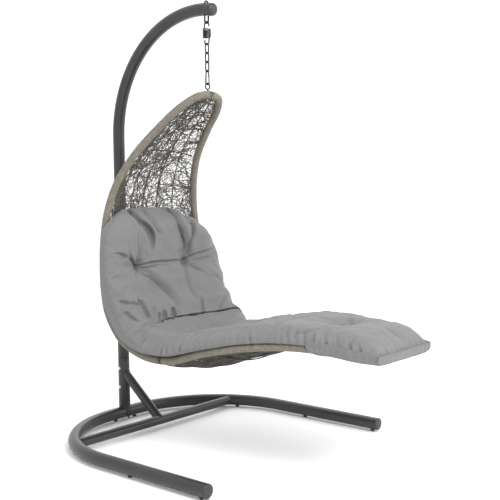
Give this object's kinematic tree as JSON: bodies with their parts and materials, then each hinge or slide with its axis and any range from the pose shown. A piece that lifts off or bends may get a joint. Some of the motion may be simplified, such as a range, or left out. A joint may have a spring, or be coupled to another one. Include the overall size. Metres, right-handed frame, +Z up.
{
  "type": "hanging chaise lounge with stand",
  "caption": "Woven chaise lounge with a tufted cushion, hung by a spring and short chain from the curved arm of a U-based steel stand.",
  "frame": {"origin": "on the floor, at the centre of the footprint box", "axes": "+Z up, -Y towards the foot end that the sitter faces, +X to the sitter's left"},
  "size_m": [1.243, 1.6716, 2.0085],
  "materials": {
    "powder_coat": "satin",
    "black_steel": "satin",
    "bolt_steel": "satin",
    "black_plastic": "matte",
    "wicker": "matte",
    "fabric": "matte"
  },
  "bodies": {
    "stand": {"base_tube": "powder_coat", "crossbar": "powder_coat", "brace": "powder_coat", "post_stub": "powder_coat", "post_spigot": "powder_coat", "post_arm": "powder_coat", "arm_cap": "black_plastic", "leg_cap_left": "powder_coat", "leg_cap_right": "powder_coat", "foot_1_left": "black_plastic", "foot_1_right": "black_plastic", "foot_2_left": "black_plastic", "foot_2_right": "black_plastic", "foot_3_left": "black_plastic", "foot_3_right": "black_plastic", "foot_4_left": "black_plastic", "foot_4_right": "black_plastic", "post_bolt_1": "bolt_steel", "post_bolt_2": "bolt_steel", "post_nut_1": "bolt_steel", "post_nut_2": "bolt_steel", "hanger_loop": "black_steel"},
    "spring": {"spring": "black_steel"},
    "chain_link_1": {"chain_link_1": "black_steel"},
    "chain_link_2": {"chain_link_2": "black_steel"},
    "chain_link_3": {"chain_link_3": "black_steel"},
    "snap_hook": {"snap_hook": "black_steel"},
    "snap_gate": {"snap_gate": "black_steel"},
    "chaise": {"rim_eye": "black_steel", "rim_tube_back": "powder_coat", "rim_tube_leg": "powder_coat", "rim_spigot_left": "powder_coat", "rim_spigot_right": "powder_coat", "rim_wrap_back_left": "wicker", "rim_wrap_back_right": "wicker", "rim_wrap_leg": "wicker", "woven_bed": "wicker", "bed_rib_1": "powder_coat", "bed_rib_2": "powder_coat", "bed_rib_3": "powder_coat", "bed_rib_4": "powder_coat", "bed_rib_5": "powder_coat", "bed_hoop_1": "powder_coat", "bed_hoop_2": "powder_coat", "bed_hoop_3": "powder_coat", "bed_hoop_4": "powder_coat", "bed_hoop_5": "powder_coat", "bed_hoop_6": "powder_coat", "bed_hoop_7": "powder_coat", "cushion": "fabric"}
  },
  "joints": [
    {"name": "spring_swing", "type": "hinge", "parent": "stand", "child": "spring", "pos_m": [0, 0.1987, 1.907], "axis": [1, 0, 0], "range_deg": [-18, 3]},
    {"name": "spring_stretch", "type": "slide", "parent": "spring", "child": "chain_link_1", "axis": [0, 0, -1], "range_m": [0, 0.03], "stiffness_N_per_m": 30000, "springref_m": -0.02, "deforming": ["spring"]},
    {"name": "link_2_tilt", "type": "hinge", "parent": "chain_link_1", "child": "chain_link_2", "pos_m": [0, 0.1987, 1.7786], "axis": [0, 1, 0], "range_deg": [-8, 8]},
    {"name": "link_3_tilt", "type": "hinge", "parent": "chain_link_2", "child": "chain_link_3", "pos_m": [0, 0.1987, 1.7386], "axis": [1, 0, 0], "range_deg": [-10, 1]},
    {"name": "snap_tilt", "type": "hinge", "parent": "chain_link_3", "child": "snap_hook", "pos_m": [0, 0.1987, 1.6986], "axis": [0, 1, 0], "range_deg": [-6, 6]},
    {"name": "eye_turn", "type": "hinge", "parent": "snap_hook", "child": "chaise", "pos_m": [0, 0.1987, 1.635], "axis": [0, 0, 1], "range_deg": [-35, 35]},
    {"name": "gate_open", "type": "hinge", "parent": "snap_hook", "child": "snap_gate", "pos_m": [0, 0.19006, 1.67102], "axis": [1, 0, 0], "range_deg": [0, 20], "stiffness_Nm_per_rad": 0.05, "springref_deg": -17.19}
  ]
}
